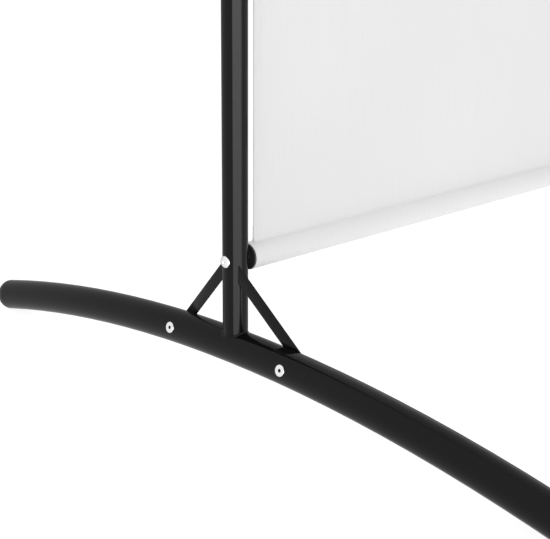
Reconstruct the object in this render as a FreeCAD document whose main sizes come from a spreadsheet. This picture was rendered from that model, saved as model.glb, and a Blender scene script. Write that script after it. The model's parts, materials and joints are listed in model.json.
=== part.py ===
"""Three-panel folding screen: steel tube frames on arched feet, with white cloth between the rods.

Frame: X runs along the flat screen, Y along the feet, Z up. The origin lies on the floor, below the
middle of the screen. Lengths are millimetres.
"""
import FreeCAD, Part
import Sketcher
import math
import os

DIMENSIONS = {
    # The screen as a whole
    "overall_height": 1800,
    "post_spacing": 830,
    "hinge_spacing": 36,
    # Posts: round steel tube, closed by domed plugs
    "post_diameter": 19,
    "post_wall": 1,
    "plug_head": 2.5,
    "plug_round": 1.8,
    "plug_depth": 16,
    "short_plug_depth": 8,
    "plug_play": 0.1,
    "hanging_post_lift": 51,
    # Foot: one arched round tube with a plastic toe cap on each end
    "foot_diameter": 26.5,
    "foot_wall": 1.2,
    "foot_half_span": 304,
    "foot_rise": 34.15,
    "toe_length": 10,
    "toe_round": 7.5,
    "toe_depth": 16,
    "toe_play": 0.25,
    "sole_depth": 0.5,
    # Brace: flat bar on edge from the post down to the foot, with a tongue that enters the foot
    "brace_width": 9.5,
    "brace_thickness": 1.2,
    "brace_height": 57.6,
    "brace_reach": 55.4,
    "brace_post_offset": 4,
    "brace_foot_offset": 4.4,
    "tongue_lead": 3,
    "tongue_length": 15,
    "tongue_depth": 7,
    "slot_play": 0.3,
    # Bolts and screws with domed heads and one thread size, in the frame
    "thread_diameter": 6,
    "thread_play": 0.05,
    "hole_play": 0.2,
    "head_diameter": 9.5,
    "head_height": 1.4,
    "head_round": 1.1,
    "socket_diameter": 3.2,
    "socket_depth": 1.6,
    "foot_screw_inset": 6.6,
    "foot_screw_rise": 3,
    "foot_screw_seat": 0.06,
    "foot_screw_length": 22,
    "rod_bolt_length": 38,
    # Rods: tube across the panel, closed by flanged end caps that take the bolts
    "rod_diameter": 19,
    "rod_wall": 1,
    "rod_height": 67.6,
    "rod_drop": 35,
    "rod_gap": 1.4,
    "flange_thickness": 1,
    "flange_diameter": 19.5,
    "flange_round": 0.3,
    "cap_depth": 20,
    "cap_play": 0.1,
    # Cloth: one layer with a sewn pocket round each rod
    "cloth_thickness": 0.5,
    "pocket_play": 0.1,
    "pocket_gap": 0.3,
    "cloth_inset": 5.9,
    # Hinge clips: a clamped ring and a turning ring, joined by a web
    "clip_height": 24,
    "clip_wall": 3.2,
    "clip_web": 9,
    "clip_running_play": 0.08,
    "clip_fixed_play": 0.05,
    "lower_clip_height": 240,
    "upper_clip_drop": 200,
    "boss_diameter": 9,
    "boss_height": 1.4,
    "clip_screw_diameter": 4,
    "clip_screw_head": 7,
    "clip_screw_head_height": 2.4,
    "clip_screw_head_round": 1.6,
    "clip_screw_socket": 2.4,
    "clip_screw_socket_depth": 1.1,
    "clip_screw_length": 8,
    # Stop collar below the turning ring of each lower clip
    "collar_height": 9,
    "collar_wall": 3,
    "collar_gap": 0.3,
    # How far a cutting tool runs past the piece it cuts
    "overrun": 5,
}
PANELS = (1, 2, 3)
FRONT, REAR = -1, 1
LEFT, RIGHT = -1, 1
QUARTER_TURN = 90
HALF_TURN = 180
UPRIGHT = FreeCAD.Rotation()
UPSIDE_DOWN = FreeCAD.Rotation(FreeCAD.Vector(1, 0, 0), HALF_TURN)
ALONG_X = FreeCAD.Rotation(FreeCAD.Vector(0, 1, 0), QUARTER_TURN)
ALONG_Y = FreeCAD.Rotation(FreeCAD.Vector(-1, 0, 0), QUARTER_TURN)
TO_FRONT = FreeCAD.Rotation(FreeCAD.Vector(1, 0, 0), QUARTER_TURN)
TO_SIDE = {LEFT: FreeCAD.Rotation(FreeCAD.Vector(0, -1, 0), QUARTER_TURN), RIGHT: ALONG_X}

doc = FreeCAD.newDocument("folding_screen")
sheet = doc.addObject("Spreadsheet::Sheet", "dims")
for row, (alias, size) in enumerate(DIMENSIONS.items(), start=1):
    sheet.set(f"A{row}", alias)
    sheet.set(f"B{row}", str(size))
    sheet.setAlias(f"B{row}", alias)
doc.recompute()

# Places that several pieces share, worked out from the sheet. The crown is the height of the foot's
# axis below its post: the toe caps' rounded ends, cut flat by the sole's depth, stand on the floor.
ARCH_RADIUS = "((dims.foot_half_span ^ 2 + dims.foot_rise ^ 2) / (2 * dims.foot_rise))"
ARCH_ANGLE = f"asin(dims.foot_half_span / {ARCH_RADIUS})"
CROWN = (
    f"(dims.foot_rise + (dims.toe_length - dims.toe_round) * sin({ARCH_ANGLE})"
    f" + (dims.foot_diameter / 2 - dims.toe_round) * cos({ARCH_ANGLE})"
    " + dims.toe_round - dims.sole_depth)"
)
POST_TOP = "(dims.overall_height - dims.plug_head)"
HANGING_END = f"({CROWN} + dims.hanging_post_lift + dims.plug_head)"
ROD_HEIGHTS = {"lower": f"({CROWN} + dims.rod_height)", "upper": f"({POST_TOP} - dims.rod_drop)"}
CLIP_HEIGHTS = {
    "lower": "dims.lower_clip_height",
    "upper": "(dims.overall_height - dims.upper_clip_drop)",
}
FLANGE_START = "(dims.post_diameter / 2 + dims.rod_gap)"
ROD_START = f"({FLANGE_START} + dims.flange_thickness)"
SCREW_OFFSET = "(dims.brace_reach - dims.tongue_lead + dims.tongue_length - dims.foot_screw_inset)"
SCREW_HEIGHT = f"({CROWN} - {ARCH_RADIUS} + sqrt({ARCH_RADIUS} ^ 2 - {SCREW_OFFSET} ^ 2))"
SCREW_TILT = "asin(2 * dims.foot_screw_rise / dims.foot_diameter)"
SCREW_REACH = "(dims.foot_diameter / 2 + dims.foot_screw_seat)"
CLIP_FACE = "(dims.post_diameter / 2 + dims.clip_fixed_play + dims.clip_wall + dims.boss_height)"
FIRST_POST = f"-({len(PANELS)} * dims.post_spacing + {len(PANELS) - 1} * dims.hinge_spacing) / 2"


def post_x(panel, side):
    """Where the panel's left or right post stands along X."""
    start = f"{FIRST_POST} + {panel - 1} * (dims.post_spacing + dims.hinge_spacing)"
    return f"({start})" if side == LEFT else f"({start} + dims.post_spacing)"


def bind(obj, **sizes):
    for name, expression in sizes.items():
        obj.setExpression(name, expression)
    return obj


def place(obj, x="0", y="0", z="0", rotation=UPRIGHT, angle=None):
    obj.Placement = FreeCAD.Placement(FreeCAD.Vector(), rotation)
    for axis, expression in zip("xyz", (x, y, z)):
        obj.setExpression(f"Placement.Base.{axis}", expression)
    if angle:
        obj.setExpression("Placement.Rotation.Angle", angle)
    return obj


def cylinder(name, diameter, length, **spot):
    obj = doc.addObject("Part::Cylinder", name)
    return place(bind(obj, Radius=f"({diameter}) / 2", Height=length), **spot)


def box(name, length, width, height, **spot):
    obj = doc.addObject("Part::Box", name)
    return place(bind(obj, Length=length, Width=width, Height=height), **spot)


def fused(name, *pieces):
    obj = doc.addObject("Part::MultiFuse", name)
    obj.Shapes = list(pieces)
    return obj


def cut(name, base, *tools):
    obj = doc.addObject("Part::Cut", name)
    obj.Base = base
    obj.Tool = tools[0] if len(tools) == 1 else fused(f"{name}_tools", *tools)
    return obj


def group(name, pieces):
    obj = doc.addObject("Part::Compound", name)
    obj.Links = list(pieces)
    return obj


def body_with_sketch(name, role):
    body = doc.addObject("PartDesign::Body", name)
    sketch = body.newObject("Sketcher::SketchObject", f"{name}_sketch")
    plane = next(f for f in body.Origin.OriginFeatures if f.Role == role)
    sketch.AttachmentSupport = (plane, [""])
    sketch.MapMode = "FlatFace"
    return body, sketch


def pin_point(sketch, geometry, end, start, x, y):
    """Hold one point of the sketch, drawn at start, at two named distances from its origin."""
    for kind, drawn, expression in (("DistanceX", start.x, x), ("DistanceY", start.y, y)):
        number = sketch.addConstraint(Sketcher.Constraint(kind, -1, 1, geometry, end, drawn))
        sketch.setExpression(f"Constraints[{number}]", expression)


def draw_outline(sketch, corners):
    """A closed outline of straight lines. It is drawn as a unit polygon, and constraints place it."""
    steps = [math.tau * i / len(corners) for i in range(len(corners) + 1)]
    unit = [FreeCAD.Vector(math.cos(a), math.sin(a), 0) for a in steps]
    for start, end in zip(unit, unit[1:]):
        sketch.addGeometry(Part.LineSegment(start, end), False)
    for i, (x, y) in enumerate(corners):
        after = (i + 1) % len(corners)
        sketch.addConstraint(Sketcher.Constraint("Coincident", i, 2, after, 1))
        pin_point(sketch, i, 1, unit[i], x, y)


def draw_circle(sketch, diameter, x="0", y="0"):
    centre = FreeCAD.Vector()
    number = sketch.addGeometry(Part.Circle(centre, FreeCAD.Vector(0, 0, 1), 1), False)
    pin_point(sketch, number, 3, centre, x, y)
    radius = sketch.addConstraint(Sketcher.Constraint("Radius", number, 1))
    sketch.setExpression(f"Constraints[{radius}]", f"({diameter}) / 2")


def tube(name, diameter, bore, length, **spot):
    """A straight round tube along its own Z axis."""
    body, sketch = body_with_sketch(name, "XY_Plane")
    draw_circle(sketch, diameter)
    draw_circle(sketch, bore)
    pad = body.newObject("PartDesign::Pad", f"{name}_pad")
    pad.Profile = sketch
    bind(pad, Length=length)
    return place(body, **spot)


def arch(name, x, diameter, bore=None):
    """A round bar or tube along the foot's arch, level where the post stands."""
    body, sketch = body_with_sketch(name, "XZ_Plane")
    draw_circle(sketch, diameter, y=ARCH_RADIUS)
    if bore:
        draw_circle(sketch, bore, y=ARCH_RADIUS)
    bend = body.newObject("PartDesign::Revolution", f"{name}_bend")
    bend.Profile = sketch
    bend.ReferenceAxis = (sketch, ["H_Axis"])
    bend.Midplane = True
    bind(bend, Angle=f"2 * {ARCH_ANGLE}")
    return place(body, x=x, z=f"{CROWN} - {ARCH_RADIUS}")


def plate(name, corners, thickness, **spot):
    """A flat plate on edge, centred on its own YZ plane."""
    body, sketch = body_with_sketch(name, "YZ_Plane")
    draw_outline(sketch, corners)
    pad = body.newObject("PartDesign::Pad", f"{name}_pad")
    pad.Profile = sketch
    pad.Midplane = True
    bind(pad, Length=thickness)
    return place(body, **spot)


def headed(name, head, shank, rounding, socket=None, bore=None, **spot):
    """A turned piece: a head above its own zero, rounded at its rim, and a shank below.

    head and shank are a diameter and a length each, socket a diameter and a depth, bore a diameter.
    """
    head_diameter, height = head
    shank_diameter, length = shank
    profile = [
        (f"{shank_diameter} / 2", f"-{length}"),
        (f"{shank_diameter} / 2", "0"),
        (f"{head_diameter} / 2", "0"),
        (f"{head_diameter} / 2", height),
    ]
    if bore:
        profile += [(f"{bore} / 2", height), (f"{bore} / 2", f"-{length}")]
    elif socket:
        floor_height = f"{height} - {socket[1]}"
        profile += [(f"{socket[0]} / 2", height), (f"{socket[0]} / 2", floor_height)]
        profile += [("0", floor_height), ("0", f"-{length}")]
    else:
        profile += [("0", height), ("0", f"-{length}")]
    body, sketch = body_with_sketch(name, "XZ_Plane")
    draw_outline(sketch, profile)
    turn = body.newObject("PartDesign::Revolution", f"{name}_turn")
    turn.Profile = sketch
    turn.ReferenceAxis = (sketch, ["V_Axis"])
    turn.Angle = 2 * HALF_TURN
    doc.recompute()
    rims = {}
    for number, edge in enumerate(turn.Shape.Edges, start=1):
        if edge.Closed and isinstance(edge.Curve, Part.Circle):
            rims[f"Edge{number}"] = (round(edge.Curve.Center.z, 3), edge.Curve.Radius)
    fillet = body.newObject("PartDesign::Fillet", f"{name}_round")
    fillet.Base = (turn, [max(rims, key=rims.get)])
    bind(fillet, Radius=rounding)
    return place(body, **spot)


def frame_bolt(name, length, **spot):
    head = ("dims.head_diameter", "dims.head_height")
    shank = ("dims.thread_diameter", length)
    socket = ("dims.socket_diameter", "dims.socket_depth")
    return headed(name, head, shank, "dims.head_round", socket=socket, **spot)


def make_brace(name, foot_x, panel_side, end, post_form):
    """The flat bar on one end's side of the post, and the slot that its tongue passes in the foot.

    The bar leans from the post's outer half towards the panel, so it has its own plan direction, and
    u is the distance from the post's surface along it.
    """
    run = "(dims.brace_reach - dims.post_diameter / 2)"
    splay = f"atan((dims.brace_foot_offset + dims.brace_post_offset) / {run})"
    crest = "sqrt((dims.foot_diameter / 2) ^ 2 - dims.brace_foot_offset ^ 2)"
    sag = f"dims.brace_reach ^ 2 / (2 * {ARCH_RADIUS})"
    slope = f"((dims.brace_height - {crest} + {sag}) * cos({splay}) / {run})"
    rise = f"(dims.brace_width / 2 * sqrt(1 + {slope} ^ 2))"
    inner = f"(({run} - dims.tongue_lead) / cos({splay}))"
    outer = f"(({run} - dims.tongue_lead + dims.tongue_length) / cos({splay}))"
    slot_start = f"((dims.brace_height - {rise} - {crest}) / {slope} - dims.slot_play)"
    slot_end = f"({outer} + dims.slot_play)"
    spot = {
        "x": f"{foot_x} + {panel_side} * -dims.brace_post_offset",
        "y": f"{end} * dims.post_diameter / 2",
        "z": CROWN,
        "angle": f"{HALF_TURN * (end == FRONT)} deg - {panel_side * end} * {splay}",
    }

    def edge(u, offset):
        return (u, f"dims.brace_height + {offset} - {slope} * ({u})")

    corners = [
        edge("-dims.overrun", rise),
        edge(outer, rise),
        (outer, "-dims.tongue_depth"),
        (inner, "-dims.tongue_depth"),
        edge(inner, f"-{rise}"),
        edge("-dims.overrun", f"-{rise}"),
    ]
    bar = plate(f"{name}_bar", corners, "dims.brace_thickness", **spot)
    hole = cylinder(
        f"{name}_hole",
        "dims.thread_diameter + 2 * dims.thread_play",
        "dims.foot_diameter / 2",
        x=foot_x,
        y=f"{end} * {SCREW_OFFSET}",
        z=SCREW_HEIGHT,
        rotation=TO_SIDE[panel_side],
        angle=f"{QUARTER_TURN} deg + {SCREW_TILT}",
    )
    corners = [
        (slot_start, "0"),
        (slot_end, "0"),
        (slot_end, "dims.foot_diameter"),
        (slot_start, "dims.foot_diameter"),
    ]
    slot = plate(f"{name}_slot", corners, "dims.brace_thickness + 2 * dims.slot_play", **spot)
    return cut(name, bar, post_form, hole), slot


def make_foot(number, foot_x, panel_side):
    """The arched foot below one post, with its toe caps, braces and screws."""
    post_form = cylinder(
        f"post_form_{number}",
        "dims.post_diameter",
        "2 * dims.brace_height",
        x=foot_x,
        z=CROWN,
    )
    outward = {"rotation": TO_SIDE[-panel_side], "angle": f"{QUARTER_TURN} deg - {SCREW_TILT}"}
    cuts = []
    screws = []
    for end, word in ((FRONT, "front"), (REAR, "rear")):
        brace, slot = make_brace(f"{word}_brace_{number}", foot_x, panel_side, end, post_form)
        pieces[brace.Name] = brace
        hole = cylinder(
            f"foot_{number}_{word}_hole",
            "dims.thread_diameter + 2 * dims.hole_play",
            "dims.foot_diameter / 2 + dims.overrun",
            x=foot_x,
            y=f"{end} * {SCREW_OFFSET}",
            z=SCREW_HEIGHT,
            **outward,
        )
        cuts += [slot, hole]
        screws.append(frame_bolt(
            f"foot_screw_{number}_{word}",
            "dims.foot_screw_length",
            x=f"{foot_x} - {panel_side} * {SCREW_REACH} * cos({SCREW_TILT})",
            y=f"{end} * {SCREW_OFFSET}",
            z=f"{SCREW_HEIGHT} + {SCREW_REACH} * sin({SCREW_TILT})",
            **outward,
        ))
        toe = headed(
            f"{word}_toe_{number}",
            ("dims.foot_diameter", "dims.toe_length"),
            ("(dims.foot_diameter - 2 * dims.foot_wall - 2 * dims.toe_play)", "dims.toe_depth"),
            "dims.toe_round",
            y=f"{end} * dims.foot_half_span",
            x=foot_x,
            z=f"{CROWN} - dims.foot_rise",
            rotation=TO_FRONT if end == FRONT else ALONG_Y,
            angle=f"{QUARTER_TURN} deg + {ARCH_ANGLE}",
        )
        cap = cut(f"{word}_toe_cap_{number}", toe, floor)
        pieces[cap.Name] = cap
    bore = "dims.foot_diameter - 2 * dims.foot_wall"
    bent = arch(f"foot_{number}_tube", foot_x, "dims.foot_diameter", bore)
    pieces[f"foot_{number}"] = cut(f"foot_{number}", bent, *cuts)
    pieces[f"foot_screws_{number}"] = group(f"foot_screws_{number}", screws)


def make_post(panel, side):
    """One post of a panel, and its plugs. A post with no foot hangs on the next panel's post."""
    word = "left" if side == LEFT else "right"
    name = f"{word}_post_{panel}"
    x = post_x(panel, side)
    hangs = side == RIGHT and panel != PANELS[-1]
    bottom = HANGING_END if hangs else CROWN
    bore = "dims.post_diameter - 2 * dims.post_wall"
    blank = tube(f"{name}_tube", "dims.post_diameter", bore, f"{POST_TOP} - {bottom}", x=x, z=bottom)
    cuts = []
    for level, height in ROD_HEIGHTS.items():
        cuts.append(cylinder(
            f"{name}_{level}_bolt_hole",
            "dims.thread_diameter + 2 * dims.hole_play",
            "dims.post_diameter + 2 * dims.overrun",
            x=f"{x} - dims.post_diameter / 2 - dims.overrun",
            z=height,
            rotation=ALONG_X,
        ))
    plug_head = ("dims.post_diameter", "dims.plug_head")
    plug_shank = f"({bore} - 2 * dims.plug_play)"
    plugs = [headed(
        f"{name}_top_plug",
        plug_head,
        (plug_shank, "dims.plug_depth"),
        "dims.plug_round",
        x=x,
        z=POST_TOP,
    )]
    if hangs:
        for level, height in CLIP_HEIGHTS.items():
            cuts.append(cylinder(
                f"{name}_{level}_clip_hole",
                "dims.clip_screw_diameter + 2 * dims.thread_play",
                "dims.post_diameter / 2 + dims.overrun",
                x=x,
                y="-dims.post_diameter / 2 - dims.overrun",
                z=f"{height} + dims.clip_height / 2",
                rotation=ALONG_Y,
            ))
        plugs.append(headed(
            f"{name}_bottom_plug",
            plug_head,
            (plug_shank, "dims.short_plug_depth"),
            "dims.plug_round",
            x=x,
            z=bottom,
            rotation=UPSIDE_DOWN,
        ))
    else:
        cuts.append(arch(f"{name}_saddle", x, "dims.foot_diameter"))
    pieces[name] = cut(name, blank, *cuts)
    return plugs


def make_rod(panel, level):
    """A rod across the panel with its two end caps, and the bolts that hold it to the posts."""
    height = ROD_HEIGHTS[level]
    name = f"{level}_rod_{panel}"
    rod_bore = "dims.rod_diameter - 2 * dims.rod_wall"
    pieces[name] = tube(
        name,
        "dims.rod_diameter",
        rod_bore,
        f"dims.post_spacing - 2 * {ROD_START}",
        x=f"{post_x(panel, LEFT)} + {ROD_START}",
        z=height,
        rotation=ALONG_X,
    )
    caps = []
    bolts = []
    for side in (LEFT, RIGHT):
        caps.append(headed(
            f"{name}_cap_{'left' if side == LEFT else 'right'}",
            ("dims.flange_diameter", "dims.flange_thickness"),
            (f"({rod_bore} - 2 * dims.cap_play)", "dims.cap_depth"),
            "dims.flange_round",
            bore="(dims.thread_diameter + 2 * dims.thread_play)",
            x=f"{post_x(panel, side)} - {side} * {ROD_START}",
            z=height,
            rotation=TO_SIDE[side],
        ))
        bolts.append(frame_bolt(
            f"{name}_bolt_{'left' if side == LEFT else 'right'}",
            "dims.rod_bolt_length",
            x=f"{post_x(panel, side)} + {side} * dims.post_diameter / 2",
            z=height,
            rotation=TO_SIDE[side],
        ))
    pieces[f"{level}_rod_caps_{panel}"] = group(f"{level}_rod_caps_{panel}", caps)
    return bolts


def make_cloth(panel):
    """One stretched layer between two pockets, each sewn round a rod."""
    inner = "(dims.rod_diameter + 2 * dims.pocket_play)"
    start = f"({ROD_START} + dims.pocket_gap)"
    pockets = []
    for level, height in ROD_HEIGHTS.items():
        pockets.append(tube(
            f"{level}_pocket_{panel}",
            f"{inner} + 2 * dims.cloth_thickness",
            inner,
            f"dims.post_spacing - 2 * {start}",
            x=f"{post_x(panel, LEFT)} + {start}",
            z=height,
            rotation=ALONG_X,
        ))
    layer = box(
        f"cloth_layer_{panel}",
        f"dims.post_spacing - 2 * ({start} + dims.cloth_inset)",
        "dims.cloth_thickness",
        f"{ROD_HEIGHTS['upper']} - {ROD_HEIGHTS['lower']} - {inner}",
        x=f"{post_x(panel, LEFT)} + {start} + dims.cloth_inset",
        y="-dims.cloth_thickness / 2",
        z=f"{ROD_HEIGHTS['lower']} + {inner} / 2",
    )
    pieces[f"cloth_{panel}"] = fused(f"cloth_{panel}", layer, *pockets)


def make_panel(panel):
    plugs = make_post(panel, LEFT) + make_post(panel, RIGHT)
    pieces[f"post_plugs_{panel}"] = group(f"post_plugs_{panel}", plugs)
    bolts = make_rod(panel, "lower") + make_rod(panel, "upper")
    pieces[f"rod_bolts_{panel}"] = group(f"rod_bolts_{panel}", bolts)
    make_cloth(panel)


def make_clip(panel, level):
    """A clip from this panel's right post, where a screw clamps it, to the next panel's left post."""
    name = f"{level}_clip_{panel}"
    height = CLIP_HEIGHTS[level]
    fixed_x = post_x(panel, RIGHT)
    turning_x = post_x(panel + 1, LEFT)
    middle = f"{height} + dims.clip_height / 2"
    rings = []
    bores = []
    for word, x, play in (
        ("fixed", fixed_x, "dims.clip_fixed_play"),
        ("turning", turning_x, "dims.clip_running_play"),
    ):
        bore = f"(dims.post_diameter + 2 * {play})"
        rings.append(cylinder(
            f"{name}_{word}_ring",
            f"{bore} + 2 * dims.clip_wall",
            "dims.clip_height",
            x=x,
            z=height,
        ))
        bores.append(cylinder(
            f"{name}_{word}_bore",
            bore,
            "dims.clip_height + 2 * dims.overrun",
            x=x,
            z=f"{height} - dims.overrun",
        ))
    web = box(
        f"{name}_web",
        "dims.hinge_spacing",
        "dims.clip_web",
        "dims.clip_height",
        x=fixed_x,
        y="-dims.clip_web / 2",
        z=height,
    )
    boss = cylinder(
        f"{name}_boss",
        "dims.boss_diameter",
        CLIP_FACE,
        x=fixed_x,
        y=f"-{CLIP_FACE}",
        z=middle,
        rotation=ALONG_Y,
    )
    hole = cylinder(
        f"{name}_screw_hole",
        "dims.clip_screw_diameter + 2 * dims.hole_play",
        f"{CLIP_FACE} + dims.overrun",
        x=fixed_x,
        y=f"-{CLIP_FACE} - dims.overrun",
        z=middle,
        rotation=ALONG_Y,
    )
    pieces[name] = cut(name, fused(f"{name}_blank", *rings, web, boss), *bores, hole)
    return headed(
        f"{name}_screw",
        ("dims.clip_screw_head", "dims.clip_screw_head_height"),
        ("dims.clip_screw_diameter", "dims.clip_screw_length"),
        "dims.clip_screw_head_round",
        socket=("dims.clip_screw_socket", "dims.clip_screw_socket_depth"),
        x=fixed_x,
        y=f"-{CLIP_FACE}",
        z=middle,
        rotation=TO_FRONT,
    )


def make_hinge(panel):
    """The two clips between a panel and the next one, with their screws and the stop collar."""
    screws = [make_clip(panel, level) for level in CLIP_HEIGHTS]
    pieces[f"clip_screws_{panel}"] = group(f"clip_screws_{panel}", screws)
    bore = "(dims.post_diameter + 2 * dims.clip_fixed_play)"
    pieces[f"stop_collar_{panel}"] = tube(
        f"stop_collar_{panel}",
        f"{bore} + 2 * dims.collar_wall",
        bore,
        "dims.collar_height",
        x=post_x(panel + 1, LEFT),
        z=f"{CLIP_HEIGHTS['lower']} - dims.collar_gap - dims.collar_height",
    )


pieces = {}
floor = box(
    "floor_form",
    f"2 * (dims.foot_diameter - {FIRST_POST})",
    "4 * dims.foot_half_span",
    "dims.foot_diameter",
    x=f"{FIRST_POST} - dims.foot_diameter",
    y="-2 * dims.foot_half_span",
    z="-dims.foot_diameter",
)
for panel in PANELS:
    make_foot(panel, post_x(panel, LEFT), RIGHT)
    make_panel(panel)
make_foot(len(PANELS) + 1, post_x(PANELS[-1], RIGHT), LEFT)
for panel in PANELS[:-1]:
    make_hinge(panel)
doc.recompute()

failed = [obj.Name for obj in doc.Objects if {"Invalid", "Error"} & set(obj.State)]
for node, piece in pieces.items():
    piece.Label = node
    if not piece.Shape.Solids or not piece.Shape.isValid():
        failed.append(node)
if failed:
    raise RuntimeError(f"These did not build: {', '.join(failed)}")
os.makedirs("parts", exist_ok=True)
for node, piece in pieces.items():
    piece.Shape.exportStep(f"parts/{node}.step")
print(f"{len(pieces)} nodes written")
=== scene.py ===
# Folding screen: three panels of gloss black steel tube on arched feet, with white cloth between the rods.
# Lengths are metres, in the solid model's frame: X along the flat screen, Y along the feet, Z up.
import bmesh
import bpy
import json
import math
from collections import namedtuple
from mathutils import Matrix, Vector


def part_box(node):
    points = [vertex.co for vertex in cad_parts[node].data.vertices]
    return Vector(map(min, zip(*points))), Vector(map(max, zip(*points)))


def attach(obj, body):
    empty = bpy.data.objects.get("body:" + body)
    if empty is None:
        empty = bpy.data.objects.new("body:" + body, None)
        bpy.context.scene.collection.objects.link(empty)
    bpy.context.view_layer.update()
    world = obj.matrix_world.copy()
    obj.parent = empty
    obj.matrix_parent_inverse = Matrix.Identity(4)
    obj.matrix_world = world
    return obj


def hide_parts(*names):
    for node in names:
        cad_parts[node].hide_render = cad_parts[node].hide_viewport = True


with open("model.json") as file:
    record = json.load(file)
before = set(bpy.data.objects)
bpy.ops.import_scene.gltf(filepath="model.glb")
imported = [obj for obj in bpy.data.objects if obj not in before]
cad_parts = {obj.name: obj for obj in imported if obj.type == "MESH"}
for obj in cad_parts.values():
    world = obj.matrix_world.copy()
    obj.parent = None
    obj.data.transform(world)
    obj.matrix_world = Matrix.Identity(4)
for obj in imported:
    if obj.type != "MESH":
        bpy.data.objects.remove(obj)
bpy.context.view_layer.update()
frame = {"nodes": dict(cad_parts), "record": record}

# Camera: it stands in front of the first panel's left post and to its left, a little below knee height, and
# looks down at the arched foot. Its place is measured from the crown of that foot, on the tube's axis.
MM = 0.001
ROD_OVER_CROWN = 67.6 * MM
CAMERA_FROM_CROWN = Vector((-596.0, -655.8, 338.8)) * MM
CAMERA_LENS = 82.985
CAMERA_SHIFT = 0.05
CAMERA_TILT = math.radians(72.523)
CAMERA_TURN = math.radians(-42.844)


def middle(node):
    """The middle of a solid node's box."""
    low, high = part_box(node)
    return (low + high) / 2


crown_height = middle("lower_rod_1").z - ROD_OVER_CROWN
camera = bpy.data.cameras.new("camera")
camera.lens = CAMERA_LENS
camera.shift_x = CAMERA_SHIFT
eye = bpy.data.objects.new("camera", camera)
eye.location = Vector((middle("left_post_1").x, 0, crown_height)) + CAMERA_FROM_CROWN
eye.rotation_euler = (CAMERA_TILT, 0, CAMERA_TURN)
bpy.context.scene.collection.objects.link(eye)
bpy.context.scene.camera = eye

# Frame tubes: steel tube for posts, feet and rods, welded, then sprayed with a gloss black stoving enamel.
# The solid model's own tubes show, in this finish.
PANELS = (1, 2, 3)
FEET = (1, 2, 3, 4)
SIDES = ("left", "right")
LEVELS = ("lower", "upper")


def hex_colour(code):
    """An sRGB hex colour as the linear colour that shaders take."""
    shares = [int(code[i:i + 2], 16) / 255 for i in (1, 3, 5)]
    linear = [s / 12.92 if s <= 0.04045 else ((s + 0.055) / 1.055) ** 2.4 for s in shares]
    return (*linear, 1)


def add_node(tree, kind, inputs=None, **settings):
    """Add a node with its settings. An input takes a number, a colour or another node's output."""
    made = tree.nodes.new(f"ShaderNode{kind}")
    for name, value in settings.items():
        setattr(made, name, value)
    for name, value in (inputs or {}).items():
        if isinstance(value, bpy.types.NodeSocket):
            tree.links.new(value, made.inputs[name])
        else:
            made.inputs[name].default_value = value
    return made


def new_material(name):
    """A new material with an empty node tree, and that tree."""
    made = bpy.data.materials.new(name)
    made.use_nodes = True
    made.node_tree.nodes.clear()
    return made, made.node_tree


def per_mm(size):
    """The texture scale at which one cell of a pattern is this many millimetres."""
    return 1 / (size * MM)


def give(names, finish):
    """Give solid nodes their finish."""
    for name in names:
        frame["nodes"][name].material_slots[0].material = finish


# Gloss stoving enamel over steel: a deep black that shows almost only what it mirrors, and mirrors it
# weakly. A faint orange peel about 2 mm across bends the mirrored edges, and wiping leaves the gloss uneven.
ORANGE_PEEL = 2.2
PEEL_HEIGHT = 0.02 * MM
WIPE_MARKS = 45
enamel, tree = new_material("gloss_black_enamel")
place = add_node(tree, "TexCoord").outputs["Object"]
peel = add_node(tree, "TexNoise", {"Vector": place, "Scale": per_mm(ORANGE_PEEL), "Detail": 2.0})
relief = add_node(tree, "Bump", {"Height": peel.outputs["Fac"], "Strength": 0.3, "Distance": PEEL_HEIGHT})
wipe = add_node(tree, "TexNoise", {"Vector": place, "Scale": per_mm(WIPE_MARKS), "Detail": 4.0})
gloss = add_node(tree, "MapRange", {"Value": wipe.outputs["Fac"], "To Min": 0.06, "To Max": 0.14})
tint = add_node(tree, "Mix", {
    0: wipe.outputs["Fac"],
    6: hex_colour("#0b0b0c"),
    7: hex_colour("#101011"),
}, data_type="RGBA")
surface = add_node(tree, "BsdfPrincipled", {
    "Base Color": tint.outputs[2],
    "Roughness": gloss.outputs["Result"],
    "IOR": 1.5,
    "Specular IOR Level": 0.16,
    "Normal": relief.outputs["Normal"],
})
add_node(tree, "OutputMaterial", {"Surface": surface.outputs["BSDF"]})
give([f"{side}_post_{n}" for n in PANELS for side in SIDES], enamel)
give([f"{level}_rod_{n}" for n in PANELS for level in LEVELS], enamel)
give([f"foot_{n}" for n in FEET], enamel)

# Braces: flat bar 9.5 by 1.2 mm, welded on edge between post and foot and enamelled with them. The paint
# rounds the bar's long edges, so a rounded bar stands for each solid one.
ENDS = ("front", "rear")
BRACE_ROUND = 0.3 * MM
BRACE_SHORTEST_EDGE = 8 * MM
SAME_POINT = 0.002 * MM
FLAT_ANGLE = math.radians(0.5)
EDGE_ANGLE = math.radians(35)
ROUND_SEGMENTS = 3
ROUNDED_CREASE = math.radians(32)


def add_piece(name, made, finishes, crease):
    """A scene object of this mesh, smooth but for the edges that turn by the crease angle or more."""
    bmesh.ops.recalc_face_normals(made, faces=made.faces)
    for face in made.faces:
        face.smooth = True
    for edge in made.edges:
        edge.smooth = edge.calc_face_angle(0) < crease
    mesh = bpy.data.meshes.new(name)
    made.to_mesh(mesh)
    made.free()
    for finish in finishes:
        mesh.materials.append(finish)
    piece = bpy.data.objects.new(name, mesh)
    bpy.context.scene.collection.objects.link(piece)
    return piece


def body_of_node(node):
    """The body that a solid node belongs to."""
    return next(body for body, nodes in frame["record"]["behaviour"]["bodies"].items() if node in nodes)


def stand_for(piece, node):
    """Let a piece take a solid node's place, on its body."""
    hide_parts(node)
    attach(piece, body_of_node(node))


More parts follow.
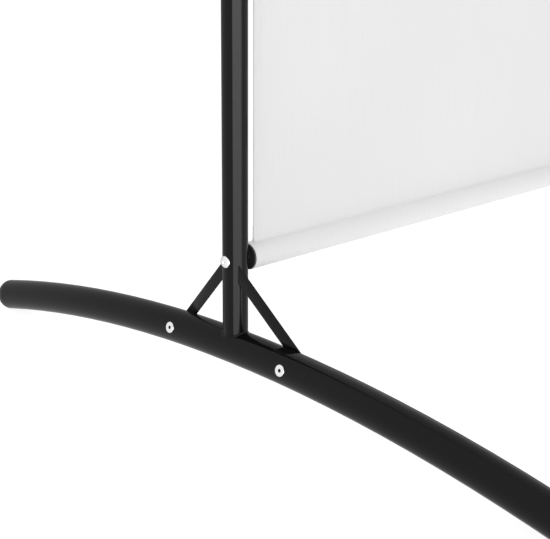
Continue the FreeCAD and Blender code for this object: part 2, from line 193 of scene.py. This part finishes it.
def rounded_copy(name, node, radius, shortest, finish):
    """A copy of a solid node with its sharp edges of at least the shortest length rounded."""
    made = bmesh.new()
    made.from_mesh(frame["nodes"][node].data)
    bmesh.ops.remove_doubles(made, verts=made.verts, dist=SAME_POINT)
    bmesh.ops.dissolve_limit(made, angle_limit=FLAT_ANGLE, verts=made.verts, edges=made.edges)
    sharp = [
        edge for edge in made.edges
        if len(edge.link_faces) == 2
        and edge.calc_face_angle() > EDGE_ANGLE
        and edge.calc_length() > shortest
    ]
    bmesh.ops.bevel(
        made,
        geom=sharp,
        offset=radius,
        segments=ROUND_SEGMENTS,
        profile=0.5,
        affect="EDGES",
        clamp_overlap=True,
    )
    piece = add_piece(name, made, [finish], ROUNDED_CREASE)
    if "custom_normal" in piece.data.attributes:
        piece.data.attributes.remove(piece.data.attributes["custom_normal"])
    stand_for(piece, node)


for foot in FEET:
    for end in ENDS:
        name = f"{end}_brace_bar_{foot}"
        rounded_copy(name, f"{end}_brace_{foot}", BRACE_ROUND, BRACE_SHORTEST_EDGE, enamel)

# Welds: a fillet of filler wire round the base of each standing post, laid by gas-shielded arc and enamelled
# over. The arc's pulses leave fine ripples 1.5 mm apart.
FOOT_RADIUS = 13.25 * MM
POST_RADIUS = 9.5 * MM
WELD_LEG = 0.8 * MM
WELD_DEPTH = 0.5 * MM
WELD_BULGE_SHARE = 0.15
RIPPLE = 1.5 * MM
RIPPLE_SHARE = 0.2
WELD_STEPS = 120
BEAD_SHARES = (0.25, 0.5, 0.75)
NO_CREASE = math.pi


def bead_section(angle):
    """The bead's corners at one angle round the post, each its reach from the post's axis and its height
    over the foot's axis. They run out and down over the bead, and back inside the two tubes."""
    lean = math.cos(angle)
    toe_reach = POST_RADIUS + WELD_LEG
    seat = math.sqrt(FOOT_RADIUS ** 2 - (POST_RADIUS * lean) ** 2)
    toe = math.sqrt(FOOT_RADIUS ** 2 - (toe_reach * lean) ** 2)
    top = seat + WELD_LEG
    ripple = 1 + RIPPLE_SHARE * math.sin(math.tau * POST_RADIUS * angle / RIPPLE)
    corners = [(POST_RADIUS - WELD_DEPTH, top), (POST_RADIUS, top)]
    for share in BEAD_SHARES:
        bulge = WELD_BULGE_SHARE * WELD_LEG * ripple * 2 * share * (1 - share)
        corners.append((POST_RADIUS + WELD_LEG * share + bulge, top * (1 - share) + toe * share + bulge))
    corners += [(toe_reach, toe), (toe_reach, toe - WELD_DEPTH)]
    corners.append((POST_RADIUS - WELD_DEPTH, seat - WELD_DEPTH))
    return corners


def bridge(made, first, second, closed=True):
    """Join two rows of vertices by faces, and return these."""
    pairs = list(zip(first, second))
    if closed:
        pairs.append(pairs[0])
    return [made.faces.new((a, b, d, c)) for (a, b), (c, d) in zip(pairs, pairs[1:])]


for foot in FEET:
    crown = Vector((middle(f"foot_{foot}").x, 0, crown_height))
    made = bmesh.new()
    loops = []
    for step in range(WELD_STEPS):
        angle = math.tau * step / WELD_STEPS
        along = Vector((math.cos(angle), math.sin(angle), 0))
        loops.append([
            made.verts.new(crown + along * reach + Vector((0, 0, height)))
            for reach, height in bead_section(angle)
        ])
    for first, second in zip(loops, loops[1:] + loops[:1]):
        bridge(made, first, second)
    weld = add_piece(f"post_weld_{foot}", made, [enamel], NO_CREASE)
    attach(weld, body_of_node(f"foot_{foot}"))


# Toe caps and plugs: caps on the ends of the feet and plugs in the ends of the posts, injection moulded from
# black polyethylene and pressed in. The solid model's own pieces show, in this finish.
def grained_finish(name, grain, detail, strength, height, gloss, colours, shading):
    """A material whose fine grain, of cells this many millimetres wide, raises it by a height and makes its
    gloss and colour uneven. gloss holds the lowest and highest roughness."""
    made, tree = new_material(name)
    place = add_node(tree, "TexCoord").outputs["Object"]
    noise = add_node(tree, "TexNoise", {"Vector": place, "Scale": per_mm(grain), "Detail": detail})
    cells = noise.outputs["Fac"]
    relief = add_node(tree, "Bump", {"Height": cells, "Strength": strength, "Distance": height})
    rough = add_node(tree, "MapRange", {"Value": cells, "To Min": gloss[0], "To Max": gloss[1]})
    tint = add_node(tree, "Mix", {
        0: cells,
        6: hex_colour(colours[0]),
        7: hex_colour(colours[1]),
    }, data_type="RGBA")
    surface = add_node(tree, "BsdfPrincipled", {
        "Base Color": tint.outputs[2],
        "Roughness": rough.outputs["Result"],
        "Normal": relief.outputs["Normal"],
        **shading,
    })
    add_node(tree, "OutputMaterial", {"Surface": surface.outputs["BSDF"]})
    return made


# Moulded polyethylene: black right through, with a satin gloss that a fine spark-eroded mould leaves.
polyethylene = grained_finish(
    "moulded_black_polyethylene",
    grain=0.5,
    detail=3.0,
    strength=0.4,
    height=0.03 * MM,
    gloss=(0.3, 0.42),
    colours=("#18181a", "#202022"),
    shading={"IOR": 1.4},
)
give([f"{end}_toe_cap_{n}" for n in FEET for end in ENDS], polyethylene)
give([f"post_plugs_{n}" for n in PANELS], polyethylene)

# Rod caps, hinge clips and stop collars: injection moulded in black nylon. A flanged cap fills each rod's
# end, and each clip is screwed to one post and turns on the next. Rounded copies stand for the clips and
# collars, and the solid model's own caps show.
HINGES = (1, 2)
CLIP_ROUND = 0.5 * MM
COLLAR_ROUND = 0.4 * MM
# Moulded nylon: a little greyer and duller than the toe caps, with a slightly coarser grain.
nylon = grained_finish(
    "moulded_black_nylon",
    grain=0.7,
    detail=3.0,
    strength=0.5,
    height=0.04 * MM,
    gloss=(0.42, 0.54),
    colours=("#202022", "#272729"),
    shading={"IOR": 1.53},
)
give([f"{level}_rod_caps_{n}" for n in PANELS for level in LEVELS], nylon)
for hinge in HINGES:
    for level in LEVELS:
        name = f"{level}_hinge_clip_{hinge}"
        rounded_copy(name, f"{level}_clip_{hinge}", CLIP_ROUND, 0, nylon)
    rounded_copy(f"clip_stop_collar_{hinge}", f"stop_collar_{hinge}", COLLAR_ROUND, 0, nylon)

# Bolts and screws: cold headed from steel with a hexagon socket, and bright zinc plated. Domed ones hold the
# rods and the clips to the posts, and low flat ones hold the braces' tongues in the feet.
# Bright zinc plate: a pale bluish metal, mirror-like but for the fine marks that the heading die leaves.
zinc = grained_finish(
    "bright_zinc_plate",
    grain=0.35,
    detail=2.0,
    strength=0.2,
    height=0.02 * MM,
    gloss=(0.16, 0.28),
    colours=("#e8e9ea", "#f6f6f6"),
    shading={"Metallic": 1.0},
)

# Dark dull steel for painted shade: it darkens the floor and walls of a deep socket, where shade falls, and
# it also colours each screw's shank and tip.
BROACH_MARK = 0.2
socket_shade_and_shank_steel, tree = new_material("painted_socket_shade_and_shank_steel")
place = add_node(tree, "TexCoord").outputs["Object"]
marks = add_node(tree, "TexNoise", {"Vector": place, "Scale": per_mm(BROACH_MARK), "Detail": 2.0})
tint = add_node(tree, "Mix", {
    0: marks.outputs["Fac"],
    6: hex_colour("#5c5a57"),
    7: hex_colour("#706e6a"),
}, data_type="RGBA")
surface = add_node(tree, "BsdfPrincipled", {"Base Color": tint.outputs[2], "Metallic": 1.0, "Roughness": 0.5})
add_node(tree, "OutputMaterial", {"Surface": surface.outputs["BSDF"]})

TURN_STEPS = 48
HEXAGON_SIDES = 6
ROUND_STEPS = 8
SOCKET_WALLS = 2
DRILL_POINT_SHARE = 0.5
DRILL_DEPTH_SHARE = 0.1
MOUTH_HEIGHT_SHARE = 0.97
MOUTH_WIDTH_SHARE = 1.2
UNDERSIDE_SHARE = 0.985
SCREW_CREASE = math.radians(40)


def hexagon_share(angle):
    """How far a hexagon's side is from its middle at an angle, as a share of half its width."""
    sector = math.tau / HEXAGON_SIDES
    return 1 / math.cos((angle + sector / 2) % sector - sector / 2)


def head_rings(radius, height, rim_in, rim_down, socket, depth, shank, length):
    """A screw's rings from its socket's floor outwards and down, each its radius, its height and whether it
    has six sides. The head's rounded edge starts rim_in from its rim and falls by rim_down. socket is half
    the socket's width, depth how deep it is, and shank the shank's radius."""
    socket_floor = height - depth
    rings = [
        (socket * DRILL_POINT_SHARE, socket_floor - socket * DRILL_DEPTH_SHARE, False),
        (socket, socket_floor, True),
        (socket, height * MOUTH_HEIGHT_SHARE, True),
        (socket * MOUTH_WIDTH_SHARE, height, False),
    ]
    for step in range(ROUND_STEPS + 1):
        angle = math.pi / 2 * step / ROUND_STEPS
        rings.append((
            radius - rim_in * (1 - math.sin(angle)),
            height - rim_down * (1 - math.cos(angle)),
            False,
        ))
    return rings + [(radius * UNDERSIDE_SHARE, 0, False), (shank, 0, False), (shank, -length, False)]


def turned_screws(name, node, seats, sizes):
    """One mesh of like screws that stands for a solid node. seats holds where each head sits and the way it
    faces. A socket deeper than half its width gets painted shade inside, from the dark steel that the shank
    has."""
    made = bmesh.new()
    rings = head_rings(**sizes)
    for seat, outward in seats:
        side = outward.orthogonal().normalized()
        other = outward.cross(side)
        loops = []
        for radius, height, is_hexagon in rings:
            loop = []
            for step in range(TURN_STEPS):
                angle = math.tau * step / TURN_STEPS
                reach = radius * (hexagon_share(angle) if is_hexagon else 1)
                across = side * math.cos(angle) + other * math.sin(angle)
                loop.append(made.verts.new(seat + across * reach + outward * height))
            loops.append(loop)
        walls = [bridge(made, inner, outer) for inner, outer in zip(loops, loops[1:])]
        socket_floor = made.faces.new(loops[0])
        tip = made.faces.new(reversed(loops[-1]))
        # Painted shade: a deep socket's floor and walls take the dark steel, as do the shank and its tip.
        socket_shade_and_shank_faces = [tip, *walls[-1]]
        if sizes["depth"] > sizes["socket"]:
            socket_shade_and_shank_faces.append(socket_floor)
            for wall in walls[:SOCKET_WALLS]:
                socket_shade_and_shank_faces += wall
        for face in socket_shade_and_shank_faces:
            face.material_index = 1
    piece = add_piece(name, made, [zinc, socket_shade_and_shank_steel], SCREW_CREASE)
    stand_for(piece, node)


POST_BOLT = {
    "radius": 4.6 * MM, "height": 2.1 * MM, "rim_in": 3.1 * MM, "rim_down": 1.6 * MM,
    "socket": 1.1 * MM, "depth": 0.35 * MM, "shank": 2.95 * MM, "length": 37 * MM,
}
for panel in PANELS:
    seats = []
    for side, way in zip(SIDES, (-1, 1)):
        low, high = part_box(f"{side}_post_{panel}")
        for level in LEVELS:
            seat = Vector((low.x if way < 0 else high.x, 0, middle(f"{level}_rod_{panel}").z))
            seats.append((seat, Vector((way, 0, 0))))
    turned_screws(f"post_bolts_{panel}", f"rod_bolts_{panel}", seats, POST_BOLT)

FOOT_SCREW = {
    "radius": 4.3 * MM, "height": 0.75 * MM, "rim_in": 0.25 * MM, "rim_down": 0.25 * MM,
    "socket": 1.3 * MM, "depth": 1.7 * MM, "shank": 2.95 * MM, "length": 21 * MM,
}
FOOT_BEND_RADIUS = 1370.3 * MM
FOOT_SCREW_REACH = 60.8 * MM
FOOT_SCREW_RISE = 3 * MM
foot_screw_tilt = math.asin(FOOT_SCREW_RISE / FOOT_RADIUS)
foot_drop = FOOT_BEND_RADIUS - math.sqrt(FOOT_BEND_RADIUS ** 2 - FOOT_SCREW_REACH ** 2)
for foot in FEET:
    way = 1 if foot == FEET[-1] else -1
    outward = Vector((way * math.cos(foot_screw_tilt), 0, math.sin(foot_screw_tilt)))
    seats = []
    for end in (-1, 1):
        on_axis = Vector((middle(f"foot_{foot}").x, end * FOOT_SCREW_REACH, crown_height - foot_drop))
        seats.append((on_axis + outward * FOOT_RADIUS, outward))
    turned_screws(f"brace_screws_{foot}", f"foot_screws_{foot}", seats, FOOT_SCREW)

CLIP_SCREW = {
    "radius": 3.5 * MM, "height": 2.4 * MM, "rim_in": 2.1 * MM, "rim_down": 2.0 * MM,
    "socket": 1.1 * MM, "depth": 1.5 * MM, "shank": 1.95 * MM, "length": 7.5 * MM,
}
for hinge in HINGES:
    low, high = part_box(f"clip_screws_{hinge}")
    seat_x = middle(f"clip_screws_{hinge}").x
    seat_y = low.y + CLIP_SCREW["height"]
    seats = [
        (Vector((seat_x, seat_y, middle(f"{level}_clip_{hinge}").z)), Vector((0, -1, 0)))
        for level in LEVELS
    ]
    turned_screws(f"hinge_screws_{hinge}", f"clip_screws_{hinge}", seats, CLIP_SCREW)

# Cloth: one piece of white polyester per panel, with a pocket sewn round each rod and a narrow hem down
# each side. It is stretched between the rods, so it shows only faint waves and small pulls at the pockets.
# Woven polyester: a matt white plain weave. Its threads lie 0.35 mm apart, and are drawn at twice that
# spacing so that they show in a close view. A thicker thread here and there leaves faint upright streaks.
THREAD_SPACING = 0.35
DRAWN_COARSER = 2
SLUB = 1.6
SLUB_STRETCH = (1.0, 0.1, 0.02)
MOTTLE = 140
WEAVE_HEIGHT = 0.04 * MM
polyester, tree = new_material("woven_white_polyester")
place = add_node(tree, "TexCoord").outputs["Object"]
across, depth, up = add_node(tree, "SeparateXYZ", {"Vector": place}).outputs
half_turn_per_thread = per_mm(THREAD_SPACING * DRAWN_COARSER) * math.pi
warp_angle = add_node(tree, "Math", {0: across, 1: half_turn_per_thread}, operation="MULTIPLY")
rise = add_node(tree, "Math", {0: up, 1: depth}, operation="SUBTRACT")
weft_angle = add_node(tree, "Math", {0: rise.outputs[0], 1: half_turn_per_thread}, operation="MULTIPLY")
warp = add_node(tree, "Math", {0: warp_angle.outputs[0]}, operation="COSINE")
weft = add_node(tree, "Math", {0: weft_angle.outputs[0]}, operation="COSINE")
weave = add_node(tree, "Math", {0: warp.outputs[0], 1: weft.outputs[0]}, operation="MULTIPLY")
stretch = add_node(tree, "Mapping", {"Vector": place, "Scale": SLUB_STRETCH})
slubs = add_node(tree, "TexNoise", {"Vector": stretch.outputs[0], "Scale": per_mm(SLUB), "Detail": 3.0})
mottle = add_node(tree, "TexNoise", {"Vector": place, "Scale": per_mm(MOTTLE), "Detail": 3.0})
height = add_node(tree, "Math", {0: weave.outputs[0], 1: slubs.outputs["Fac"]}, operation="ADD")
relief = add_node(tree, "Bump", {"Height": height.outputs[0], "Strength": 0.5, "Distance": WEAVE_HEIGHT})
shade = add_node(tree, "Math", {0: slubs.outputs["Fac"], 1: mottle.outputs["Fac"]}, operation="MULTIPLY")
tint = add_node(tree, "Mix", {
    0: shade.outputs[0],
    6: hex_colour("#e4e4e4"),
    7: hex_colour("#eeeeee"),
}, data_type="RGBA")
surface = add_node(tree, "BsdfPrincipled", {
    "Base Color": tint.outputs[2],
    "Roughness": 0.85,
    "IOR": 1.5,
    "Specular IOR Level": 0.25,
    "Sheen Weight": 0.08,
    "Sheen Roughness": 0.5,
    "Normal": relief.outputs["Normal"],
})
add_node(tree, "OutputMaterial", {"Surface": surface.outputs["BSDF"]})

# Sewing thread: twisted polyester, a shade whiter than the cloth and slightly shiny.
TWIST = 0.3
thread, tree = new_material("white_polyester_thread")
place = add_node(tree, "TexCoord").outputs["Object"]
twist = add_node(tree, "TexNoise", {"Vector": place, "Scale": per_mm(TWIST)})
tint = add_node(tree, "Mix", {
    0: twist.outputs["Fac"],
    6: hex_colour("#e6e7e8"),
    7: hex_colour("#f2f2f2"),
}, data_type="RGBA")
surface = add_node(tree, "BsdfPrincipled", {"Base Color": tint.outputs[2], "Roughness": 0.6, "IOR": 1.5})
add_node(tree, "OutputMaterial", {"Surface": surface.outputs["BSDF"]})

# The cloth between the pockets: half its thickness, how much the folded hems, the creases at the pockets and
# the turned-in seam allowance add to each half, and over what width each of these fades out.
Sheet = namedtuple("Sheet", "left right bottom top phase")
CLOTH_HALF = 0.25 * MM
HEM_WIDTH = 8 * MM
HEM_EXTRA = 0.3 * MM
HEM_FADE = (-0.4 * MM, 0.1 * MM)
FOLD_THINNER = 0.25 * MM
FOLD_ROUND = 0.5 * MM
CREASE_EXTRA = 1.2 * MM
CREASE_FADE = 1.5 * MM
SEAM_ALLOWANCE = 12 * MM
SEAM_EXTRA = 0.35 * MM
SEAM_FADE = (-0.3 * MM, 0.2 * MM)
# Slow waves: the height and length of each, and for those across the cloth also how far it shifts from panel
# to panel and on its way up. They fade towards the pockets, where short pulls take over.
UP_WAVE = (0.30 * MM, 900 * MM)
CROSS_WAVES = ((0.55 * MM, 310 * MM, 1, 1.2), (0.35 * MM, 173 * MM, 2.1, -2.3))
WAVE_FADE_POWER = 0.6
PULL_HEIGHT = 0.16 * MM
PULL_SPACING = 41 * MM
PULL_GROUP = 270 * MM
PULL_GROUP_SHIFT = 1.7
PULL_REACH = 45 * MM
PULL_START = 12 * MM


def smooth_share(value, start, end):
    """How far a value is from start to end, as a share that starts and ends gently."""
    share = min(max((value - start) / (end - start), 0), 1)
    return share * share * (3 - 2 * share)


def cloth_wave(x, z, sheet):
    """How far the stretched cloth stands to the rear."""
    share = min(max((z - sheet.bottom) / (sheet.top - sheet.bottom), 0), 1)
    high, length = UP_WAVE
    wave = high * math.sin(math.tau * z / length + sheet.phase)
    for high, length, panel_shift, rising_shift in CROSS_WAVES:
        wave += high * math.sin(math.tau * x / length + panel_shift * sheet.phase + rising_shift * share)
    near = min(z - sheet.bottom, sheet.top - z)
    pull = PULL_HEIGHT * math.exp(-near / PULL_REACH) * smooth_share(near, 0, PULL_START)
    pull *= math.sin(math.tau * x / PULL_SPACING + sheet.phase)
    pull *= math.sin(math.tau * x / PULL_GROUP + PULL_GROUP_SHIFT * sheet.phase)
    return wave * math.sin(math.pi * share) ** WAVE_FADE_POWER + pull


def cloth_half(x, z, sheet, is_rear):
    """Half the cloth's thickness, with its hems, the pocket's crease and its turned-in edge at the rear."""
    side = min(x - sheet.left, sheet.right - x)
    near = min(z - sheet.bottom, sheet.top - z)
    half = CLOTH_HALF + HEM_EXTRA * (1 - smooth_share(side, HEM_WIDTH + HEM_FADE[0], HEM_WIDTH + HEM_FADE[1]))
    half -= FOLD_THINNER * (1 - smooth_share(side, 0, FOLD_ROUND))
    half += CREASE_EXTRA * math.exp(-max(near, 0) / CREASE_FADE)
    if is_rear:
        start, end = (SEAM_ALLOWANCE + fade for fade in SEAM_FADE)
        half += SEAM_EXTRA * (1 - smooth_share(near, start, end))
    return half


def on_cloth(x, z, sheet, way):
    """A point on the cloth's front, where way is -1, or on its rear, where way is 1."""
    return Vector((x, cloth_wave(x, z, sheet) + way * cloth_half(x, z, sheet, way > 0), z))


def steps_between(start, end, count):
    """Evenly spaced values from start to end, both included."""
    return [start + (end - start) * i / count for i in range(count + 1)]


# The sheet's stations, in millimetres from a side or a pocket: close together at hem, crease and seam.
SIDE_STATIONS = (0, 0.25, 0.5, 4, 7.6, 7.9, 8.2)
POCKET_STATIONS = (-0.6, 0.3, 0.8, 1.5, 2.5, 4, 7, 11.6, 12.0, 12.4, 18, 26, 36)
FIRST_INNER_X = 12 * MM
FIRST_INNER_Z = 48 * MM
INNER_X_STEPS = 96
INNER_Z_STEPS = 100


def add_sheet(made, sheet):
    """The cloth between the pockets, front and rear, as one closed skin."""
    left, right, bottom, top = sheet[:4]
    xs = [left + x * MM for x in SIDE_STATIONS]
    xs += steps_between(left + FIRST_INNER_X, right - FIRST_INNER_X, INNER_X_STEPS)
    xs += [right - x * MM for x in reversed(SIDE_STATIONS)]
    zs = [bottom + z * MM for z in POCKET_STATIONS]
    zs += steps_between(bottom + FIRST_INNER_Z, top - FIRST_INNER_Z, INNER_Z_STEPS)
    zs += [top - z * MM for z in reversed(POCKET_STATIONS)]
    rows = []
    for z in zs:
        front = [on_cloth(x, z, sheet, -1) for x in xs]
        rear = [on_cloth(x, z, sheet, 1) for x in reversed(xs)]
        rows.append([made.verts.new(point) for point in front + rear])
    for first, second in zip(rows, rows[1:]):
        bridge(made, first, second)
    for row in (rows[0], rows[-1]):
        front, rear = row[:len(xs)], row[len(xs):]
        bridge(made, front, reversed(rear), closed=False)


# The pockets: a tube of cloth round each rod, open at its ends and a little puckered along its top.
POCKET_OUTSIDE = 10.1 * MM
POCKET_INSIDE = 9.6 * MM
POCKET_INSET = 5.9 * MM
POCKET_STEPS = 64
POCKET_RINGS = 100
PUCKER_HEIGHT = 0.07 * MM
PUCKER_SPACING = 33 * MM
PUCKER_GROUP = 210 * MM


def add_pocket(made, left, right, height, phase):
    """The pocket round the rod at this height, between its two ends."""
    outside, inside = [], []
    for x in steps_between(left, right, POCKET_RINGS):
        pucker = PUCKER_HEIGHT * math.sin(math.tau * x / PUCKER_SPACING + phase)
        pucker *= math.sin(math.tau * x / PUCKER_GROUP + phase)
        outer, inner = [], []
        for step in range(POCKET_STEPS):
            angle = math.tau * step / POCKET_STEPS
            rearward, up = math.cos(angle), math.sin(angle)
            radius = POCKET_OUTSIDE + pucker * (0.5 + 0.5 * up)
            outer.append(made.verts.new((x, radius * rearward, height + radius * up)))
            inner.append(made.verts.new((x, POCKET_INSIDE * rearward, height + POCKET_INSIDE * up)))
        outside.append(outer)
        inside.append(inner)
    for rings in (outside, inside):
        for first, second in zip(rings, rings[1:]):
            bridge(made, first, second)
    bridge(made, outside[0], inside[0])
    bridge(made, outside[-1], inside[-1])


# The stitches: lockstitch along both pockets and both hems, on both faces. Each stitch is a short bent grain
# of thread that sinks into the cloth at its ends.
THREAD_RADIUS = 0.16 * MM
STITCH_LENGTH = 2.4 * MM
STITCH_PITCH = 3.0 * MM
STITCH_OVER_POCKET = 2.6 * MM
STITCH_FROM_SIDE = 2 * MM
HEM_STITCH_INSET = 6.2 * MM
HEM_STITCH_START = 4 * MM
STITCH_SIDES = 6
STITCH_RINGS = 5
STITCH_TIP_SHARE = 0.15
STITCH_LIFT_SHARE = 0.5


def stitch_spots(sheet, way):
    """Each stitch's middle on one face of the cloth, and the way that it runs."""
    left, right, bottom, top = sheet[:4]
    spots = []
    count = round((right - left - 2 * STITCH_FROM_SIDE) / STITCH_PITCH)
    for x in steps_between(left + STITCH_FROM_SIDE, right - STITCH_FROM_SIDE, count):
        for z in (bottom + STITCH_OVER_POCKET, top - STITCH_OVER_POCKET):
            spots.append((on_cloth(x, z, sheet, way), Vector((1, 0, 0))))
    count = round((top - bottom - 2 * HEM_STITCH_START) / STITCH_PITCH)
    for z in steps_between(bottom + HEM_STITCH_START, top - HEM_STITCH_START, count):
        for x in (left + HEM_STITCH_INSET, right - HEM_STITCH_INSET):
            spots.append((on_cloth(x, z, sheet, way), Vector((0, 0, 1))))
    return spots


def add_stitch(made, point, along, outward):
    """One stitch on the cloth, closed at its two ends."""
    other = along.cross(outward)
    loops = []
    for share in steps_between(-1, 1, STITCH_RINGS - 1):
        thickness = THREAD_RADIUS * max(1 - share ** 4, STITCH_TIP_SHARE)
        lift = THREAD_RADIUS * (STITCH_LIFT_SHARE - share ** 2)
        centre = point + along * share * STITCH_LENGTH / 2 + outward * lift
        angles = [math.tau * step / STITCH_SIDES for step in range(STITCH_SIDES)]
        loops.append([
            made.verts.new(centre + (outward * math.sin(a) + other * math.cos(a)) * thickness) for a in angles
        ])
    for first, second in zip(loops, loops[1:]):
        bridge(made, first, second)
    made.faces.new(loops[0])
    made.faces.new(reversed(loops[-1]))


PANEL_PHASE = 1.7
UPPER_PHASE = 1
CLOTH_CREASE = math.radians(50)
for panel in PANELS:
    low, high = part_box(f"cloth_{panel}")
    lower_rod, upper_rod = (middle(f"{level}_rod_{panel}").z for level in LEVELS)
    sheet = Sheet(
        left=low.x + POCKET_INSET,
        right=high.x - POCKET_INSET,
        bottom=lower_rod + POCKET_OUTSIDE,
        top=upper_rod - POCKET_OUTSIDE,
        phase=PANEL_PHASE * panel,
    )
    made = bmesh.new()
    add_sheet(made, sheet)
    add_pocket(made, low.x, high.x, lower_rod, sheet.phase)
    add_pocket(made, low.x, high.x, upper_rod, sheet.phase + UPPER_PHASE)
    cloth = add_piece(f"white_cloth_{panel}", made, [polyester], CLOTH_CREASE)

    made = bmesh.new()
    for way in (-1, 1):
        for point, along in stitch_spots(sheet, way):
            add_stitch(made, point, along, Vector((0, way, 0)))
    stitching = add_piece(f"cloth_stitching_{panel}", made, [thread], CLOTH_CREASE)

    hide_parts(f"cloth_{panel}")
    for piece in (cloth, stitching):
        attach(piece, f"panel_{panel}")

# Studio: a plain pale floor, a white surround, and soft lamps. The floor and the surround look white, and the
# object's shadow stays on the floor.
FLOOR_REACH = 12
FLOOR_SQUARES = 8
floor_paint, tree = new_material("pale_floor_paint")
matt = add_node(tree, "BsdfDiffuse", {"Color": hex_colour("#8a8a8a")})
glow = add_node(tree, "Emission", {"Color": (1, 1, 1, 1), "Strength": 0.9})
both = add_node(tree, "AddShader", {0: matt.outputs[0], 1: glow.outputs[0]})
add_node(tree, "OutputMaterial", {"Surface": both.outputs[0]})
made = bmesh.new()
bmesh.ops.create_grid(made, x_segments=FLOOR_SQUARES, y_segments=FLOOR_SQUARES, size=FLOOR_REACH)
floor = add_piece("studio_floor", made, [floor_paint], NO_CREASE)
floor.visible_glossy = False

# The surround: seen straight it is white. The gloss paint mirrors a duller rear and one tall bright panel to
# the front left, which gives each post its upright streak of light. All else is lit by it evenly.
WHITE = 1.0
AROUND_LIGHT = 0.665
REAR_LIGHT = 0.45
REAR_BEARING = math.radians(47)
STREAK_LIGHT = 6.6
STREAK_START = math.radians(206)
STREAK_END = math.radians(290)
START_FADE = (math.radians(0), math.radians(3))
END_FADE = (math.radians(12), math.radians(-20))
TOP_FADE = (0.3, 0.15)
FOOT_FADE = (-0.75, -0.05)
world = bpy.data.worlds.new("studio")
bpy.context.scene.world = world
world.use_nodes = True
tree = world.node_tree
tree.nodes.clear()
rays = add_node(tree, "LightPath").outputs
look = add_node(tree, "TexCoord").outputs["Generated"]
look_x, look_y, look_z = add_node(tree, "SeparateXYZ", {"Vector": look}).outputs
raw_bearing = add_node(tree, "Math", {0: look_y, 1: look_x}, operation="ARCTAN2")
past_turn = add_node(tree, "Math", {0: raw_bearing.outputs[0], 1: math.tau}, operation="ADD")
bearing = add_node(tree, "Math", {0: past_turn.outputs[0], 1: math.tau}, operation="MODULO")
from_start = add_node(tree, "MapRange", {
    "Value": bearing.outputs[0],
    "From Min": STREAK_START + START_FADE[0],
    "From Max": STREAK_START + START_FADE[1],
}, interpolation_type="SMOOTHSTEP")
to_end = add_node(tree, "MapRange", {
    "Value": bearing.outputs[0],
    "From Min": STREAK_END + END_FADE[0],
    "From Max": STREAK_END + END_FADE[1],
}, interpolation_type="SMOOTHSTEP")
below_top = add_node(tree, "MapRange", {
    "Value": look_z, "From Min": TOP_FADE[0], "From Max": TOP_FADE[1],
}, interpolation_type="SMOOTHSTEP")
over_foot = add_node(tree, "MapRange", {"Value": look_z, "From Min": FOOT_FADE[0], "From Max": FOOT_FADE[1]})
between = add_node(tree, "Math", {0: from_start.outputs[0], 1: to_end.outputs[0]}, operation="MULTIPLY")
within = add_node(tree, "Math", {0: below_top.outputs[0], 1: over_foot.outputs[0]}, operation="MULTIPLY")
streak = add_node(tree, "Math", {0: between.outputs[0], 1: within.outputs[0]}, operation="MULTIPLY")
rear = (math.cos(REAR_BEARING), math.sin(REAR_BEARING), 0)
rearward = add_node(tree, "VectorMath", {0: look, 1: rear}, operation="DOT_PRODUCT").outputs["Value"]
around = add_node(tree, "MapRange", {"Value": rearward, "To Min": WHITE, "To Max": REAR_LIGHT})
mirrored = add_node(tree, "MapRange", {
    "Value": streak.outputs[0], "To Min": around.outputs[0], "To Max": STREAK_LIGHT,
})
direct = add_node(tree, "Math", {
    0: rays["Is Camera Ray"], 1: rays["Is Transmission Ray"],
}, operation="MAXIMUM")
strength = add_node(tree, "Mix", {0: rays["Is Glossy Ray"], 2: AROUND_LIGHT, 3: mirrored.outputs[0]})
strength = add_node(tree, "Mix", {0: direct.outputs[0], 2: strength.outputs[0], 3: WHITE})
surround = add_node(tree, "Background", {"Color": (1, 1, 1, 1), "Strength": strength.outputs[0]})
add_node(tree, "OutputWorld", {"Surface": surround.outputs[0]})

# The lamps: one large soft lamp before the screen and one behind it, each with its place and its aim. Gloss
# doesn't mirror them.
LAMP_SIZE = 4.8
LAMP_POWER = 206
LAMPS = {
    "front_lamp": (Vector((-5.2, -6.4, 5.2)), Vector((-0.3, 0, 0.8))),
    "rear_lamp": (Vector((5.6, 6.4, 5.2)), Vector((0.3, 0, 0.8))),
}
for name, (spot, aim) in LAMPS.items():
    light = bpy.data.lights.new(name, "AREA")
    light.size = LAMP_SIZE
    light.energy = LAMP_POWER
    lamp = bpy.data.objects.new(name, light)
    lamp.location = spot
    lamp.rotation_euler = (spot - aim).to_track_quat("Z", "Y").to_euler()
    lamp.visible_glossy = False
    lamp.visible_camera = False
    bpy.context.scene.collection.objects.link(lamp)
bpy.context.scene.view_settings.view_transform = "Standard"

bpy.context.view_layer.update()
